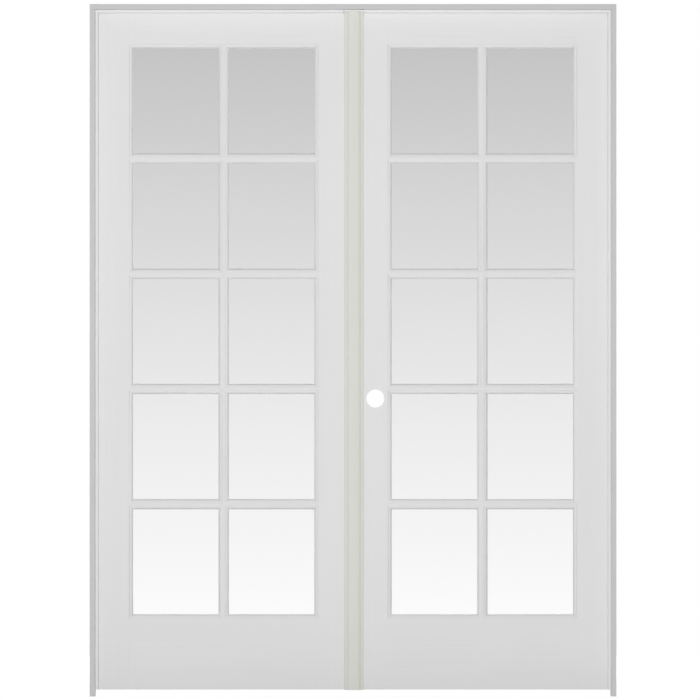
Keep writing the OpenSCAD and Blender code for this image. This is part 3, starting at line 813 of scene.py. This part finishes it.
screw_nodes = [name for name in sorted(nodes) if name.endswith("_screws")]
screws = {name: screw_places(name) for name in screw_nodes}
print({name: len(found) for name, found in screws.items()})

# %% [markdown]
# ## Driving the screws with Geometry Nodes
#
# A node tree sets a copy of the screw on every point, turns it to face into the wood, and gives each one
# its own chance turn, because no one lines up the crosses. The seed is fixed. The tree ends in Realize
# Instances and Set Material, and its result becomes a plain mesh.

# %% Screw tree
LARGEST_TURN = math.pi / 2

drive = bpy.data.node_groups.new("drive_screws", "GeometryNodeTree")
drive.interface.new_socket("Geometry", in_out="INPUT", socket_type="NodeSocketGeometry")
socket_screw = drive.interface.new_socket("Screw", in_out="INPUT", socket_type="NodeSocketObject")
socket_seed = drive.interface.new_socket("Seed", in_out="INPUT", socket_type="NodeSocketInt")
socket_metal = drive.interface.new_socket("Metal", in_out="INPUT", socket_type="NodeSocketMaterial")
drive.interface.new_socket("Geometry", in_out="OUTPUT", socket_type="NodeSocketGeometry")
given = drive.nodes.new("NodeGroupInput")
made = drive.nodes.new("NodeGroupOutput")
shape = put(drive, "GeometryNodeObjectInfo")
towards = put(drive, "GeometryNodeInputNamedAttribute", {"Name": "into_wood"}, data_type="FLOAT_VECTOR")
facing = put(drive, "FunctionNodeAlignRotationToVector", axis="Z")
chance = put(drive, "FunctionNodeRandomValue", data_type="FLOAT")
spin = put(drive, "FunctionNodeAxisAngleToRotation", {"Axis": (0.0, 0.0, 1.0)})
turned = put(drive, "FunctionNodeRotateRotation", rotation_space="LOCAL")
copies = put(drive, "GeometryNodeInstanceOnPoints")
real = put(drive, "GeometryNodeRealizeInstances")
plated = put(drive, "GeometryNodeSetMaterial")
join(drive, given, "Screw", shape, "Object")
join(drive, towards, "Attribute", facing, "Vector")
drive.links.new(given.outputs["Seed"], next(s for s in chance.inputs if s.name == "Seed"))
drive.links.new(next(s for s in chance.outputs if s.enabled), spin.inputs["Angle"])
join(drive, facing, "Rotation", turned, "Rotation")
join(drive, spin, "Rotation", turned, "Rotate By")
join(drive, given, "Geometry", copies, "Points")
join(drive, shape, "Geometry", copies, "Instance")
join(drive, turned, "Rotation", copies, "Rotation")
join(drive, copies, "Instances", real, "Geometry")
join(drive, real, "Geometry", plated, "Geometry")
join(drive, given, "Metal", plated, "Material")
join(drive, plated, "Geometry", made, "Geometry")
for socket in chance.inputs:
    if socket.enabled and socket.name in ("Min", "Max"):
        socket.default_value = 0.0 if socket.name == "Min" else LARGEST_TURN
print("tree", drive.name, "with", len(drive.nodes), "nodes")

# %% [markdown]
# Each group of screws lies on one body, so each becomes one piece. The head is as high as the plate that it
# is let into: 2.2 mm in a hinge and in wood, 2 mm in a bolt's plate and 1.5 mm in the head strike.

# %% Screws in place
USUAL_HEAD_H = 0.0022
HEAD_H = {"flush_bolt_screws": 0.002, "head_strike_screws": 0.0015}

for number, (name, found) in enumerate(screws.items()):
    mesh = bpy.data.meshes.new(name + "_driven")
    mesh.from_pydata([spot for spot, _, _ in found], [], [])
    into_wood = mesh.attributes.new("into_wood", "FLOAT_VECTOR", "POINT")
    into_wood.data.foreach_set("vector", [value for _, into, _ in found for value in into])
    piece = bpy.data.objects.new(name + "_driven", mesh)
    scene.collection.objects.link(piece)
    length = found[0][2]
    pattern = screw_piece(name + "_pattern", length, HEAD_H.get(name, USUAL_HEAD_H))
    tree = piece.modifiers.new("Screws", "NODES")
    tree.node_group = drive
    tree[socket_screw.identifier] = pattern
    tree[socket_seed.identifier] = number + 1
    tree[socket_metal.identifier] = screw_steel
    solid = plain_mesh(piece)
    piece.modifiers.clear()
    piece.data = solid
    bpy.data.objects.remove(pattern)
    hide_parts(name)
    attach(piece, body_of[name])
    print(name, len(found), "screws,", len(solid.polygons), "faces")
